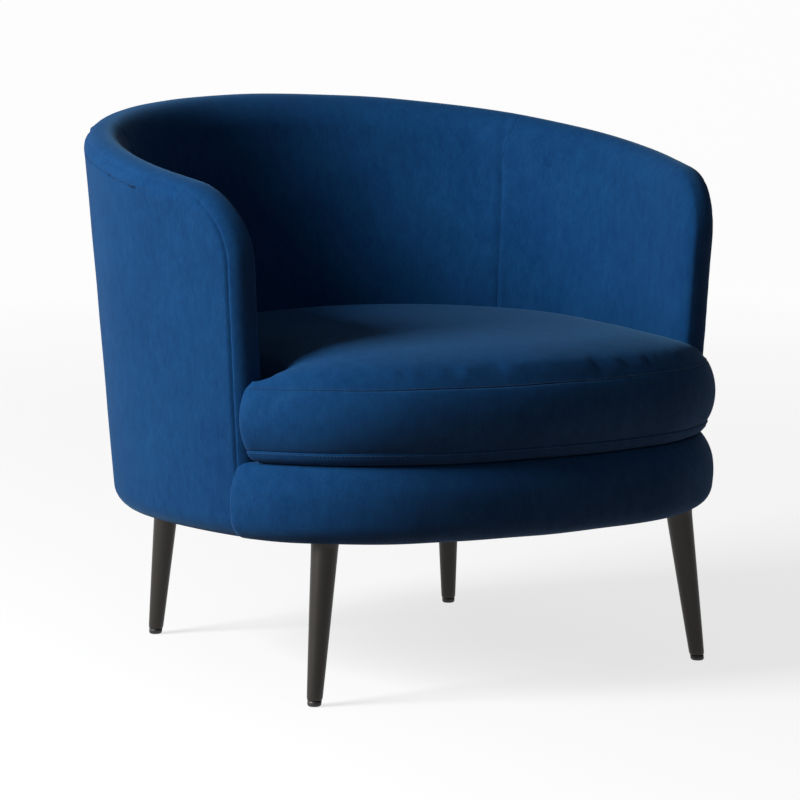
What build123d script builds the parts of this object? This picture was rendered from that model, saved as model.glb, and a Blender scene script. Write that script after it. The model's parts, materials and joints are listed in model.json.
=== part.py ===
from build123d import *
from math import asin, atan, atan2, cos, hypot, pi, radians, sin, sqrt
import os

# Upholstered tub armchair, in millimetres.
# +Z is up, the chair faces -Y, and the origin is on the floor under the middle of its box.

# ---------------------------------------------------------------- driving dimensions
BASE_HEIGHT = 192.0  # floor to the underside of the upholstered shell
BACK_HEIGHT = 703.0  # floor to the top of the back
RIM_SLOPE = 0.1555  # fall of the rim per mm towards the front
RIM_CORNER = 96.0  # radius where the rim turns down into the arm front
RIM_ROUND = 16.0  # rounding of the rim's two long edges
BASE_ROUND = 26.0  # rounding of the shell's bottom edge
ARM_FRONT_Y = -220.0  # front face of both arms

CENTRE_Y = -15.0  # centre of the round back
BACK_RADIUS = 362.0  # outside of the back, at the base
SIDE_RADIUS = 621.5  # outside of the arms
CORNER_RADIUS = 246.3  # front corners of the seat base
FRONT_RADIUS = 658.0  # bow of the seat front
FRONT_REACH = 353.0  # from the centre of the back to the seat front
FLARE = 0.079  # outward lean of every wall, per mm of height

WELL_RADIUS = 306.0  # inside of the back, at the base
WELL_SIDE_RADIUS = 741.0  # inside of the arms
WELL_CENTRE_Y = CENTRE_Y - 5.0
WELL_FRONT_Y = -480.0  # the well runs out through the front of the chair

PANEL_ANGLE = 55.0  # seams between back and arm panels, from the middle of the back
FABRIC = 2.0
LAYER_GAP = 0.3  # between neighbouring curved layers
WADDING = 5.7
BOARD = 3.0
POST = 18.0  # thickness of posts and top rail
POST_WIDTH = 40.0
RIM_PADDING = 16.0  # from the rim's surface down to the top rail
TOP_RAIL_HEIGHT = 28.0
WEBBING = 1.2
WEBBING_WIDTH = 50.0
WEBBING_HEIGHTS = (335.0, 420.0, 505.0)
BACK_POST_ANGLE = 27.0
SIDE_POST_ANGLE = 82.0

RING_LOW, RING_HIGH = 197.0, 215.0  # plywood base ring
RING_WIDTH = 80.0
RAIL_HIGH = 262.0
RAIL_THICKNESS = 22.0
RAIL_JOINT_Y = (-150.0, 150.0)
HEM = 30.0  # fabric turned under the base

SPRING_WIRE = 3.6
SPRING_XS = (-200.0, -100.0, 0.0, 100.0, 200.0)
SPRING_HALF_WIDTH = 20.0
SPRING_PITCH = 24.0
CLIP = (16.0, 18.0, 7.0)
SPRING_COVER = 3.0
DECK_PAD = 11.0

APRON_END_Y = -199.0  # both ends of the front roll, just behind the arm fronts
APRON_TOP = 285.0  # just under the cushion
APRON_BULGE = 19.0
APRON_BULGE_HEIGHT = 246.0
APRON_PINCH = 4.0  # how far the roll still stands out at its top

CUSHION_LOW = 285.5
CUSHION_SEAM = 376.0  # top of the boxing
CUSHION_TOP = 430.0
CUSHION_CROWN_RADIUS = 1400.0
CUSHION_CENTRE_Y = -45.0
CUSHION_OVERHANG = 18.0  # past the seat front
CUSHION_CLEARANCE = 4.0  # to the arms and back
WING_CLEARANCE = 4.0  # cushion wings to the arm fronts
WING_ROUND = 12.0
CUSHION_WRAP = 10.0

ZIP_ANGLE = 70.0  # half the zip's arc, round the cushion's back
ZIP_HEIGHT = 6.0
ZIP_LEVEL = 338.0
SLIDER = (9.0, 3.2, 9.0)
PULL_TAB = (5.0, 1.0, 22.0)

FRONT_FOOT = (280.0, -289.0)
REAR_FOOT = (227.5, 228.0)
FRONT_SPLAY = (22.2, -12.4)  # foot outside leg top, per SPLAY_RISE of height
REAR_SPLAY = (11.6, 16.4)
SPLAY_RISE = 190.0
LEG_TOP_RADIUS = 16.3
LEG_FOOT_RADIUS = 8.5
LEG_WALL = 2.2
LEG_CAP = 14.0  # solid top of the leg, tapped for its stud
GLIDE_HEIGHT = 7.0
STUD_RADIUS = 4.0
STUD_LENGTH = 29.0
INSERT_RADIUS = 5.0
LEG_CLEARANCE = 0.4
LEG_POCKET = 5.0  # room above the base ring's underside for the leg's slanting top

TALL = 800.0  # past the top of the chair
WIDE = 1000.0  # past its sides

os.makedirs("parts", exist_ok=True)


# ---------------------------------------------------------------- plan outlines
def on_arc(centre, radius, angle):
    """Point on a plan arc."""
    return (centre[0] + radius * cos(angle), centre[1] + radius * sin(angle))


def corner_centre(side, front):
    """Centre of the corner arc that touches both the side arc and the front bow."""
    to_side = SIDE_RADIUS - CORNER_RADIUS
    to_front = FRONT_RADIUS - CORNER_RADIUS
    span_x, span_y = front[0] - side[0], front[1] - side[1]
    span = hypot(span_x, span_y)
    along = (to_side**2 - to_front**2 + span**2) / (2 * span)
    across = sqrt(to_side**2 - along**2)
    return (
        side[0] + (span_x * along + span_y * across) / span,
        side[1] + (span_y * along - span_x * across) / span,
    )


BACK = (0.0, CENTRE_Y)
SIDE = (BACK_RADIUS - SIDE_RADIUS, CENTRE_Y)
FRONT = (0.0, CENTRE_Y - FRONT_REACH + FRONT_RADIUS)
CORNER = corner_centre(SIDE, FRONT)
SIDE_END = atan2(CORNER[1] - SIDE[1], CORNER[0] - SIDE[0])
CORNER_END = atan2(CORNER[1] - FRONT[1], CORNER[0] - FRONT[0])
WELL_BACK = (0.0, WELL_CENTRE_Y)
WELL_SIDE = (WELL_RADIUS - WELL_SIDE_RADIUS, WELL_CENTRE_Y)


def leaned(height, grow):
    """Outward offset at a height, with the flare of the walls."""
    return grow + FLARE * (height - BASE_HEIGHT)


def plan_face(height, grow):
    """Outline of the whole chair, offset outward by grow."""
    back, side = BACK_RADIUS + grow, SIDE_RADIUS + grow
    corner, front = CORNER_RADIUS + grow, FRONT_RADIUS + grow
    with BuildSketch(Plane.XY.offset(height)) as face:
        with BuildLine():
            rear = ThreePointArc(
                on_arc(BACK, back, pi / 2), on_arc(BACK, back, pi / 4), on_arc(BACK, back, 0)
            )
            flank = ThreePointArc(rear @ 1, on_arc(SIDE, side, SIDE_END / 2), on_arc(SIDE, side, SIDE_END))
            turn = ThreePointArc(
                flank @ 1,
                on_arc(CORNER, corner, (SIDE_END + CORNER_END) / 2),
                on_arc(CORNER, corner, CORNER_END),
            )
            ThreePointArc(
                turn @ 1,
                on_arc(FRONT, front, (CORNER_END - pi / 2) / 2),
                on_arc(FRONT, front, -pi / 2),
            )
            mirror(about=Plane.YZ)
        make_face()
    return face.sketch


def well_face(height, grow):
    """Outline of the seat space between the arms, offset outward by grow, open at the front."""
    back, side = WELL_RADIUS + grow, WELL_SIDE_RADIUS + grow
    end = asin((WELL_FRONT_Y - WELL_CENTRE_Y) / side)
    with BuildSketch(Plane.XY.offset(height)) as face:
        with BuildLine():
            rear = ThreePointArc(
                on_arc(WELL_BACK, back, pi / 2), on_arc(WELL_BACK, back, pi / 4), on_arc(WELL_BACK, back, 0)
            )
            flank = ThreePointArc(rear @ 1, on_arc(WELL_SIDE, side, end / 2), on_arc(WELL_SIDE, side, end))
            Line(flank @ 1, (0, WELL_FRONT_Y))
            mirror(about=Plane.YZ)
        make_face()
    return face.sketch


# ---------------------------------------------------------------- solids the layers are cut from
def tub(low, high, grow, edge=0.0):
    """Flared solid of the whole plan, with its bottom edge rounded by edge."""
    with BuildPart() as solid:
        add(plan_face(low, leaned(low, grow)))
        add(plan_face(high, leaned(high, grow)))
        loft(ruled=True)
        if edge:
            fillet(solid.faces().sort_by(Axis.Z)[0].edges(), edge)
    return solid.part


def well(low, high, grow):
    """Flared solid of the seat space."""
    with BuildPart() as solid:
        add(well_face(low, leaned(low, grow)))
        add(well_face(high, leaned(high, grow)))
        loft(ruled=True)
    return solid.part


def side_cut(inset):
    """Everything behind the arm fronts and under the sloping rim, shrunk by inset."""
    back_y = CENTRE_Y + BACK_RADIUS + leaned(BACK_HEIGHT, 0)
    front_y = ARM_FRONT_Y + inset
    drop = inset / cos(atan(RIM_SLOPE))
    with BuildPart() as solid:
        with BuildSketch(Plane.YZ) as profile:
            with BuildLine():
                Polyline(
                    (front_y, 0),
                    (front_y, BACK_HEIGHT - RIM_SLOPE * (back_y - front_y) - drop),
                    (WIDE, BACK_HEIGHT - RIM_SLOPE * (back_y - WIDE) - drop),
                    (WIDE, 0),
                    close=True,
                )
            make_face()
            fillet(profile.vertices().group_by(Axis.X)[0].sort_by(Axis.Y)[-1], RIM_CORNER - inset)
        extrude(amount=WIDE, both=True)
    return solid.part


def slab(low, high, front=-WIDE, back=WIDE, left=-WIDE, right=WIDE):
    """Plain box between two heights, optionally bounded in plan."""
    with BuildPart() as solid:
        with BuildSketch(Plane.XY.offset(low)):
            with Locations(((left + right) / 2, (front + back) / 2)):
                Rectangle(right - left, back - front)
        extrude(amount=high - low)
    return solid.part


def wedge(angle):
    """Sector about the back's centre, angle each side of straight back."""
    reach = (WIDE * sin(radians(angle)), CENTRE_Y + WIDE * cos(radians(angle)))
    with BuildPart() as solid:
        with BuildSketch(Plane.XY):
            with BuildLine():
                Polyline(BACK, reach, (0, CENTRE_Y + 2 * WIDE), (-reach[0], reach[1]), close=True)
            make_face()
        extrude(amount=TALL)
    return solid.part


def spoke(angle, width):
    """Upright slab, width thick, running out from the back's centre at an angle from straight back."""
    with BuildPart() as solid:
        with BuildSketch(Plane(origin=(0, CENTRE_Y, 0), x_dir=(sin(radians(angle)), cos(radians(angle)), 0))):
            with Locations((WIDE / 2, 0)):
                Rectangle(WIDE, width)
        extrude(amount=TALL)
    return solid.part


def rim_edges(solid):
    """The two long edges of the wall's rim and of its arm fronts."""
    rim = solid.faces().filter_by(lambda f: abs(f.normal_at().X) < 1e-6 and f.center().Z > APRON_TOP)
    edges = [edge for face in rim for edge in face.edges()]
    single = [edge for edge in edges if sum(edge.is_same(other) for other in edges) == 1]
    return [edge for edge in single if edge.bounding_box().max.Z > BASE_HEIGHT + BASE_ROUND]


def wall(inset):
    """The padded wall of arms and back, shrunk by inset on every side."""
    outside = tub(BASE_HEIGHT + inset, TALL, -inset, BASE_ROUND - inset)
    inside = well(0, TALL, inset)
    with BuildPart() as solid:
        add(outside)
        add(inside, mode=Mode.SUBTRACT)
        add(side_cut(inset), mode=Mode.INTERSECT)
        fillet(rim_edges(solid.part), RIM_ROUND - inset)
    return solid.part


# ---------------------------------------------------------------- legs: axes
def leg_plane(foot, splay, side):
    """Plane at the floor, square to a leg's axis, and the axis direction."""
    direction = Vector(-side * splay[0], -splay[1], SPLAY_RISE).normalized()
    return Plane(origin=(side * foot[0], foot[1], 0), x_dir=(1, 0, 0), z_dir=direction)


LEGS = {
    "front_left": leg_plane(FRONT_FOOT, FRONT_SPLAY, -1),
    "front_right": leg_plane(FRONT_FOOT, FRONT_SPLAY, 1),
    "rear_left": leg_plane(REAR_FOOT, REAR_SPLAY, -1),
    "rear_right": leg_plane(REAR_FOOT, REAR_SPLAY, 1),
}


def leg_rod(plane, radius, low=0.0, high=RING_HIGH * 1.2):
    """Plain rod along a leg's axis."""
    with BuildPart() as rod:
        with BuildSketch(plane.offset(low)):
            Circle(radius)
        extrude(amount=high - low)
    return rod.part


LEG_CLEAR = [
    leg_rod(plane, LEG_TOP_RADIUS + LEG_CLEARANCE, high=RING_LOW + LEG_POCKET) for plane in LEGS.values()
]
FRAME_DEPTH = FABRIC + WADDING + BOARD + 3 * LAYER_GAP  # outside surface to the timber
FOAM_DEPTH = FRAME_DEPTH + POST + WEBBING + 2 * LAYER_GAP
DECK_LOW = RAIL_HIGH + CLIP[2] + LAYER_GAP
APRON_ZONE = slab(0, APRON_TOP + LAYER_GAP, back=APRON_END_Y)
WALL_SKIN = wall(0)
WALL_CORE = wall(FABRIC + LAYER_GAP)
FRAME_CUT = side_cut(RIM_PADDING + LAYER_GAP)
BACK_WEDGE = wedge(PANEL_ANGLE)
LEFT_HALF = slab(0, TALL, right=0)
RIGHT_HALF = slab(0, TALL, left=0)

# ---------------------------------------------------------------- legs and glides
leg_length = RING_LOW - GLIDE_HEIGHT
for name, plane in LEGS.items():
    top = RING_LOW * 1.1
    top_radius = LEG_TOP_RADIUS + (LEG_TOP_RADIUS - LEG_FOOT_RADIUS) * (top - RING_LOW) / RING_LOW
    with BuildPart() as leg:
        with BuildSketch(Plane(plane.origin, x_dir=plane.x_dir, z_dir=-plane.y_dir)):
            with BuildLine():
                Polyline((0, 0), (LEG_FOOT_RADIUS, 0), (top_radius, top), (0, top), close=True)
            make_face()
            with BuildLine():
                Polyline(
                    (0, 0),
                    (LEG_FOOT_RADIUS - LEG_WALL, 0),
                    (LEG_TOP_RADIUS - LEG_WALL, RING_LOW - LEG_CAP),
                    (0, RING_LOW - LEG_CAP),
                    close=True,
                )
            make_face(mode=Mode.SUBTRACT)
        revolve(axis=Axis(plane.origin, plane.z_dir))
        add(slab(GLIDE_HEIGHT, RING_LOW - LAYER_GAP), mode=Mode.INTERSECT)
        add(leg_rod(plane, STUD_RADIUS, RING_LOW - LEG_CAP), mode=Mode.SUBTRACT)
    leg.part.label = f"leg_{name}"
    export_step(leg.part, f"parts/leg_{name}.step")

    with BuildPart() as glide:
        add(leg_rod(plane, LEG_FOOT_RADIUS + 0.3, -GLIDE_HEIGHT, 2 * GLIDE_HEIGHT))
        add(slab(0, GLIDE_HEIGHT - LAYER_GAP), mode=Mode.INTERSECT)
        fillet(glide.faces().sort_by(Axis.Z)[0].edges(), LEG_WALL)
        add(leg_rod(plane, LEG_FOOT_RADIUS - LEG_WALL - LAYER_GAP, GLIDE_HEIGHT / 2, 3 * GLIDE_HEIGHT))
    glide.part.label = f"glide_{name}"
    export_step(glide.part, f"parts/glide_{name}.step")

with BuildPart() as leg_studs:
    for plane in LEGS.values():
        stud_low = RING_LOW - LEG_CAP + 1
        add(leg_rod(plane, STUD_RADIUS - LAYER_GAP / 3, stud_low, stud_low + STUD_LENGTH))
leg_studs.part.label = "leg_studs"
export_step(leg_studs.part, "parts/leg_studs.step")

with BuildPart() as leg_inserts:
    for plane in LEGS.values():
        add(leg_rod(plane, INSERT_RADIUS))
        add(leg_rod(plane, STUD_RADIUS), mode=Mode.SUBTRACT)
    add(slab(RING_LOW, RING_HIGH - 1), mode=Mode.INTERSECT)
leg_inserts.part.label = "leg_inserts"
export_step(leg_inserts.part, "parts/leg_inserts.step")

# ---------------------------------------------------------------- seat frame
with BuildPart() as base_ring:
    add(tub(RING_LOW, RING_HIGH, -FRAME_DEPTH - FABRIC))
    add(tub(RING_LOW - 1, RING_HIGH + 1, -FRAME_DEPTH - RING_WIDTH), mode=Mode.SUBTRACT)
    for plane in LEGS.values():
        add(leg_rod(plane, INSERT_RADIUS + LAYER_GAP / 3), mode=Mode.SUBTRACT)
base_ring.part.label = "base_ring"
export_step(base_ring.part, "parts/base_ring.step")

rail_outside = tub(RING_HIGH, RAIL_HIGH, -FRAME_DEPTH)
rail_inside = tub(RING_HIGH - 1, RAIL_HIGH + 1, -FRAME_DEPTH - RAIL_THICKNESS)
rail_front_y, rail_back_y = RAIL_JOINT_Y
rail_pieces = {
    "front_rail": slab(0, TALL, back=rail_front_y),
    "back_rail": slab(0, TALL, front=rail_back_y),
    "side_rail_left": slab(0, TALL, rail_front_y, rail_back_y, right=0),
    "side_rail_right": slab(0, TALL, rail_front_y, rail_back_y, left=0),
}
for name, piece in rail_pieces.items():
    with BuildPart() as rail:
        add(rail_outside)
        add(rail_inside, mode=Mode.SUBTRACT)
        add(piece, mode=Mode.INTERSECT)
    rail.part.label = name
    export_step(rail.part, f"parts/{name}.step")

# ---------------------------------------------------------------- shell frame
post_band_outside = tub(RAIL_HIGH, TALL, -FRAME_DEPTH)
post_band_inside = tub(RAIL_HIGH - 1, TALL + 1, -FRAME_DEPTH - POST)
below_top_rail = side_cut(RIM_PADDING + TOP_RAIL_HEIGHT + LAYER_GAP)
arm_post_back_y = ARM_FRONT_Y + RIM_PADDING + POST_WIDTH

with BuildPart() as top_rail:
    add(post_band_outside)
    add(post_band_inside, mode=Mode.SUBTRACT)
    add(FRAME_CUT, mode=Mode.INTERSECT)
    add(below_top_rail, mode=Mode.SUBTRACT)
    add(slab(0, TALL, front=arm_post_back_y), mode=Mode.INTERSECT)
top_rail.part.label = "top_rail"
export_step(top_rail.part, "parts/top_rail.step")

post_cuts = {
    "back_post_left": spoke(-BACK_POST_ANGLE, POST_WIDTH),
    "back_post_right": spoke(BACK_POST_ANGLE, POST_WIDTH),
    "side_post_left": spoke(-SIDE_POST_ANGLE, POST_WIDTH),
    "side_post_right": spoke(SIDE_POST_ANGLE, POST_WIDTH),
}
for name, cut in post_cuts.items():
    with BuildPart() as post:
        add(post_band_outside)
        add(post_band_inside, mode=Mode.SUBTRACT)
        add(below_top_rail, mode=Mode.INTERSECT)
        add(cut, mode=Mode.INTERSECT)
    post.part.label = name
    export_step(post.part, f"parts/{name}.step")

for side_name, half in (("left", LEFT_HALF), ("right", RIGHT_HALF)):
    with BuildPart() as arm_post:
        add(post_band_outside)
        add(post_band_inside, mode=Mode.SUBTRACT)
        add(FRAME_CUT, mode=Mode.INTERSECT)
        add(slab(0, TALL, back=arm_post_back_y), mode=Mode.INTERSECT)
        add(half, mode=Mode.INTERSECT)
    arm_post.part.label = f"arm_post_{side_name}"
    export_step(arm_post.part, f"parts/arm_post_{side_name}.step")

with BuildPart() as shell_board:
    add(tub(RING_HIGH, TALL, -FABRIC - WADDING - 2 * LAYER_GAP))
    add(tub(0, TALL + 1, -FABRIC - WADDING - BOARD - 2 * LAYER_GAP), mode=Mode.SUBTRACT)
    add(FRAME_CUT, mode=Mode.INTERSECT)
    add(APRON_ZONE, mode=Mode.SUBTRACT)
shell_board.part.label = "shell_board"
export_step(shell_board.part, "parts/shell_board.step")

with BuildPart() as back_webbing:
    for height in WEBBING_HEIGHTS:
        strip = slab(height, height + WEBBING_WIDTH)
        outside = tub(height - 1, height + WEBBING_WIDTH + 1, -FRAME_DEPTH - POST - LAYER_GAP)
        inside = tub(height - 2, height + WEBBING_WIDTH + 2, -FRAME_DEPTH - POST - LAYER_GAP - WEBBING)
        add((outside - inside) & strip & wedge(SIDE_POST_ANGLE))
back_webbing.part.label = "back_webbing"
export_step(back_webbing.part, "parts/back_webbing.step")


# ---------------------------------------------------------------- seat springs and deck
def rail_line_y(x, front):
    """Middle of the front or back rail at a given x."""
    inset = FRAME_DEPTH + RAIL_THICKNESS / 2
    if not front:
        return CENTRE_Y + sqrt((BACK_RADIUS - inset) ** 2 - x**2)
    if abs(x) < on_arc(FRONT, FRONT_RADIUS - inset, CORNER_END)[0]:
        return FRONT[1] - sqrt((FRONT_RADIUS - inset) ** 2 - x**2)
    return CORNER[1] - sqrt((CORNER_RADIUS - inset) ** 2 - (abs(x) - CORNER[0]) ** 2)


spring_height = RAIL_HIGH + CLIP[2] / 2
for number, x in enumerate(SPRING_XS, 1):
    front_end, back_end = rail_line_y(x, True), rail_line_y(x, False)
    count = int((back_end - front_end) / SPRING_PITCH)
    step = (back_end - front_end) / count
    route = [(x, front_end)]
    for turn in range(count):
        offset = SPRING_HALF_WIDTH if turn % 2 else -SPRING_HALF_WIDTH
        route += [(x + offset, front_end + turn * step), (x + offset, front_end + (turn + 1) * step)]
    route.append((x, back_end))
    with BuildPart() as spring:
        with BuildLine(Plane.XY.offset(spring_height)) as wire:
            FilletPolyline(*route, radius=step * 0.45)
        with BuildSketch(Plane(origin=wire.line @ 0, z_dir=wire.line % 0)):
            Circle(SPRING_WIRE / 2)
        sweep()
    spring.part.label = f"seat_spring_{number}"
    export_step(spring.part, f"parts/seat_spring_{number}.step")

with BuildPart() as spring_clips:
    ends = [(x, rail_line_y(x, front)) for x in SPRING_XS for front in (True, False)]
    with BuildSketch(Plane.XY.offset(RAIL_HIGH)):
        with Locations(*ends):
            Rectangle(CLIP[0], CLIP[1])
    extrude(amount=CLIP[2])
    with Locations(*((x, y, spring_height) for x, y in ends)):
        Box(2 * CLIP[0], SPRING_WIRE + 2 * LAYER_GAP, SPRING_WIRE + 2 * LAYER_GAP, mode=Mode.SUBTRACT)
spring_clips.part.label = "spring_clips"
export_step(spring_clips.part, "parts/spring_clips.step")


def deck_layer(low, high, inset):
    """Flat layer over the seat springs, out to the front rail and to the inside panels."""
    with BuildPart() as layer:
        add(tub(low, high, -FRAME_DEPTH - inset))
        add(well(low - 1, high + 1, -inset), mode=Mode.INTERSECT)
    with BuildPart() as lip:
        add(tub(low, high, -FRAME_DEPTH - inset))
        add(slab(low, high, back=ARM_FRONT_Y - inset), mode=Mode.INTERSECT)
    return layer.part + lip.part


deck_levels = (DECK_LOW, DECK_LOW + SPRING_COVER, DECK_LOW + SPRING_COVER + DECK_PAD)
with BuildPart() as spring_cover:
    add(deck_layer(deck_levels[0], deck_levels[1], LAYER_GAP))
spring_cover.part.label = "spring_cover"
export_step(spring_cover.part, "parts/spring_cover.step")

with BuildPart() as deck_pad:
    add(deck_layer(deck_levels[1], deck_levels[2], LAYER_GAP))
deck_pad.part.label = "deck_pad"
export_step(deck_pad.part, "parts/deck_pad.step")

with BuildPart() as deck_cloth:
    add(deck_layer(deck_levels[2], deck_levels[2] + FABRIC, LAYER_GAP))
deck_cloth.part.label = "deck_cloth"
export_step(deck_cloth.part, "parts/deck_cloth.step")

with BuildPart() as dust_cover:
    add(tub(BASE_HEIGHT - 1, BASE_HEIGHT - 0.1, -BASE_ROUND))
    for clear in LEG_CLEAR:
        add(clear, mode=Mode.SUBTRACT)
dust_cover.part.label = "dust_cover"
export_step(dust_cover.part, "parts/dust_cover.step")

# ---------------------------------------------------------------- outside padding and covers
with BuildPart() as outside_wadding:
    add(tub(BASE_HEIGHT + FABRIC + LAYER_GAP, TALL, -FABRIC - LAYER_GAP, BASE_ROUND - FABRIC - LAYER_GAP))
    add(tub(0, TALL + 1, -FABRIC - LAYER_GAP - WADDING), mode=Mode.SUBTRACT)
    add(FRAME_CUT, mode=Mode.INTERSECT)
    add(APRON_ZONE, mode=Mode.SUBTRACT)
    for clear in LEG_CLEAR:
        add(clear, mode=Mode.SUBTRACT)
outside_wadding.part.label = "outside_wadding"
export_step(outside_wadding.part, "parts/outside_wadding.step")

outside_skin = tub(BASE_HEIGHT, TALL, 0, BASE_ROUND) - tub(
    BASE_HEIGHT + FABRIC, TALL + 1, -FABRIC, BASE_ROUND - FABRIC
)
outside_skin = (outside_skin - tub(0, RING_LOW, -HEM)) & FRAME_CUT
outside_skin = outside_skin - APRON_ZONE
for clear in LEG_CLEAR:
    outside_skin = outside_skin - clear

outside_panels = {
    "outside_back_cover": outside_skin & BACK_WEDGE,
    "outside_arm_cover_left": (outside_skin - BACK_WEDGE) & LEFT_HALF,
    "outside_arm_cover_right": (outside_skin - BACK_WEDGE) & RIGHT_HALF,
}
for name, piece in outside_panels.items():
    with BuildPart() as panel:
        add(piece)
    panel.part.label = name
    export_step(panel.part, f"parts/{name}.step")

# ---------------------------------------------------------------- inside foam and covers
foam_body = WALL_CORE - (FRAME_CUT - tub(0, TALL + 1, -FOAM_DEPTH))
foam_body = foam_body - slab(0, DECK_LOW) - APRON_ZONE
inside_skin = WALL_SKIN - wall(FABRIC) - (FRAME_CUT - tub(0, TALL + 1, -FOAM_DEPTH))
inside_skin = inside_skin - slab(0, DECK_LOW) - APRON_ZONE
halves = {"left": LEFT_HALF, "right": RIGHT_HALF}
for body, kind in ((foam_body, "foam"), (inside_skin, "cover")):
    with BuildPart() as back_piece:
        add(body)
        add(BACK_WEDGE, mode=Mode.INTERSECT)
    back_piece.part.label = f"inside_back_{kind}"
    export_step(back_piece.part, f"parts/inside_back_{kind}.step")
    for side_name, half in halves.items():
        with BuildPart() as arm_piece:
            add(body)
            add(BACK_WEDGE, mode=Mode.SUBTRACT)
            add(half, mode=Mode.INTERSECT)
        arm_piece.part.label = f"inside_arm_{kind}_{side_name}"
        export_step(arm_piece.part, f"parts/inside_arm_{kind}_{side_name}.step")


# ---------------------------------------------------------------- front roll (apron)
def apron_roll(inset):
    """Padded roll round the seat front, swept from one arm to the other, shrunk by inset."""
    end = asin((APRON_END_Y - CORNER[1]) / CORNER_RADIUS)
    with BuildPart() as roll:
        with BuildLine() as path:
            turn = ThreePointArc(
                on_arc(CORNER, CORNER_RADIUS, end),
                on_arc(CORNER, CORNER_RADIUS, (end + CORNER_END) / 2),
                on_arc(CORNER, CORNER_RADIUS, CORNER_END),
            )
            ThreePointArc(turn @ 1, on_arc(FRONT, FRONT_RADIUS, -pi / 2), ((turn @ 1).X * -1, (turn @ 1).Y))
            mirror(turn, about=Plane.YZ)
        start = path.line @ 0
        tangent = path.line % 0
        with BuildSketch(Plane(origin=start, x_dir=Vector(-tangent.Y, tangent.X, 0), z_dir=tangent)):
            with BuildLine():
                under = TangentArc(
                    (-BASE_ROUND, BASE_HEIGHT + inset),
                    (APRON_BULGE - inset, APRON_BULGE_HEIGHT),
                    tangent=(1, 0),
                )
                crown = TangentArc(under @ 1, (APRON_PINCH - inset, APRON_TOP - inset), tangent=under % 1)
                Polyline(crown @ 1, (-BASE_ROUND, APRON_TOP - inset), under @ 0)
            make_face()
        sweep(path=path.line)
        add(tub(RING_LOW - LAYER_GAP, TALL, -FRAME_DEPTH + LAYER_GAP), mode=Mode.SUBTRACT)
        add(slab(0, TALL, back=APRON_END_Y - LAYER_GAP), mode=Mode.INTERSECT)
        for clear in LEG_CLEAR:
            add(clear, mode=Mode.SUBTRACT)
    return roll.part


with BuildPart() as apron_cover:
    add(apron_roll(0) - apron_roll(FABRIC))
apron_cover.part.label = "apron_cover"
export_step(apron_cover.part, "parts/apron_cover.step")

with BuildPart() as apron_foam:
    add(apron_roll(FABRIC + LAYER_GAP))
    add(tub(0, TALL, -FRAME_DEPTH + LAYER_GAP), mode=Mode.SUBTRACT)
apron_foam.part.label = "apron_foam"
export_step(apron_foam.part, "parts/apron_foam.step")


# ---------------------------------------------------------------- loose seat cushion
def cushion(inset, low, high):
    """Cushion block: seat space between the arms, wings in front of them, crowned top."""
    with BuildPart() as block:
        with BuildSketch(Plane.XY.offset(low)) as plan:
            add(well_face(low, leaned(CUSHION_LOW, -CUSHION_CLEARANCE - inset)))
            add(plan_face(low, CUSHION_OVERHANG - inset), mode=Mode.INTERSECT)
            with BuildSketch(Plane.XY.offset(low), mode=Mode.PRIVATE) as wings:
                add(plan_face(low, CUSHION_OVERHANG - inset))
                with Locations((0, ARM_FRONT_Y - WING_CLEARANCE - inset + WIDE / 2)):
                    Rectangle(2 * WIDE, WIDE, mode=Mode.SUBTRACT)
            add(wings.sketch)
            ends = plan.vertices().group_by(Axis.X)
            fillet(ends[0] + ends[-1], WING_ROUND - inset / 2)
        extrude(amount=high - low)
        with Locations((0, CUSHION_CENTRE_Y, CUSHION_TOP - CUSHION_CROWN_RADIUS)):
            Sphere(CUSHION_CROWN_RADIUS - inset, mode=Mode.INTERSECT)
    return block.part


cushion_outside = cushion(0, CUSHION_LOW, CUSHION_TOP + 1)
cushion_inside = cushion(FABRIC, CUSHION_LOW + FABRIC, CUSHION_TOP + 1)
cushion_skin = cushion_outside - cushion_inside
cushion_filling = cushion(FABRIC + LAYER_GAP, CUSHION_LOW + FABRIC + LAYER_GAP, CUSHION_TOP + 1)
wrap_depth = FABRIC + 2 * LAYER_GAP + CUSHION_WRAP
cushion_foam = cushion(wrap_depth, CUSHION_LOW + wrap_depth, CUSHION_TOP + 1)
bottom_seam = CUSHION_LOW + FABRIC
zip_wedge = wedge(ZIP_ANGLE) & slab(bottom_seam, CUSHION_SEAM)
zip_slot = wedge(ZIP_ANGLE - FABRIC) & slab(ZIP_LEVEL - ZIP_HEIGHT / 2, ZIP_LEVEL + ZIP_HEIGHT / 2)

with BuildPart() as cushion_top_cover:
    add(cushion_skin)
    add(slab(CUSHION_SEAM, TALL), mode=Mode.INTERSECT)
cushion_top_cover.part.label = "cushion_top_cover"
export_step(cushion_top_cover.part, "parts/cushion_top_cover.step")

with BuildPart() as cushion_bottom_cover:
    add(cushion_skin)
    add(slab(0, bottom_seam), mode=Mode.INTERSECT)
cushion_bottom_cover.part.label = "cushion_bottom_cover"
export_step(cushion_bottom_cover.part, "parts/cushion_bottom_cover.step")

with BuildPart() as cushion_boxing:
    add(cushion_skin)
    add(slab(bottom_seam, CUSHION_SEAM), mode=Mode.INTERSECT)
    add(zip_wedge, mode=Mode.SUBTRACT)
cushion_boxing.part.label = "cushion_boxing"
export_step(cushion_boxing.part, "parts/cushion_boxing.step")

with BuildPart() as cushion_zip_panel:
    add(cushion_skin & zip_wedge)
    add(zip_slot, mode=Mode.SUBTRACT)
cushion_zip_panel.part.label = "cushion_zip_panel"
export_step(cushion_zip_panel.part, "parts/cushion_zip_panel.step")

with BuildPart() as cushion_zip:
    add(cushion_skin & zip_slot)
cushion_zip.part.label = "cushion_zip"
export_step(cushion_zip.part, "parts/cushion_zip.step")

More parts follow.
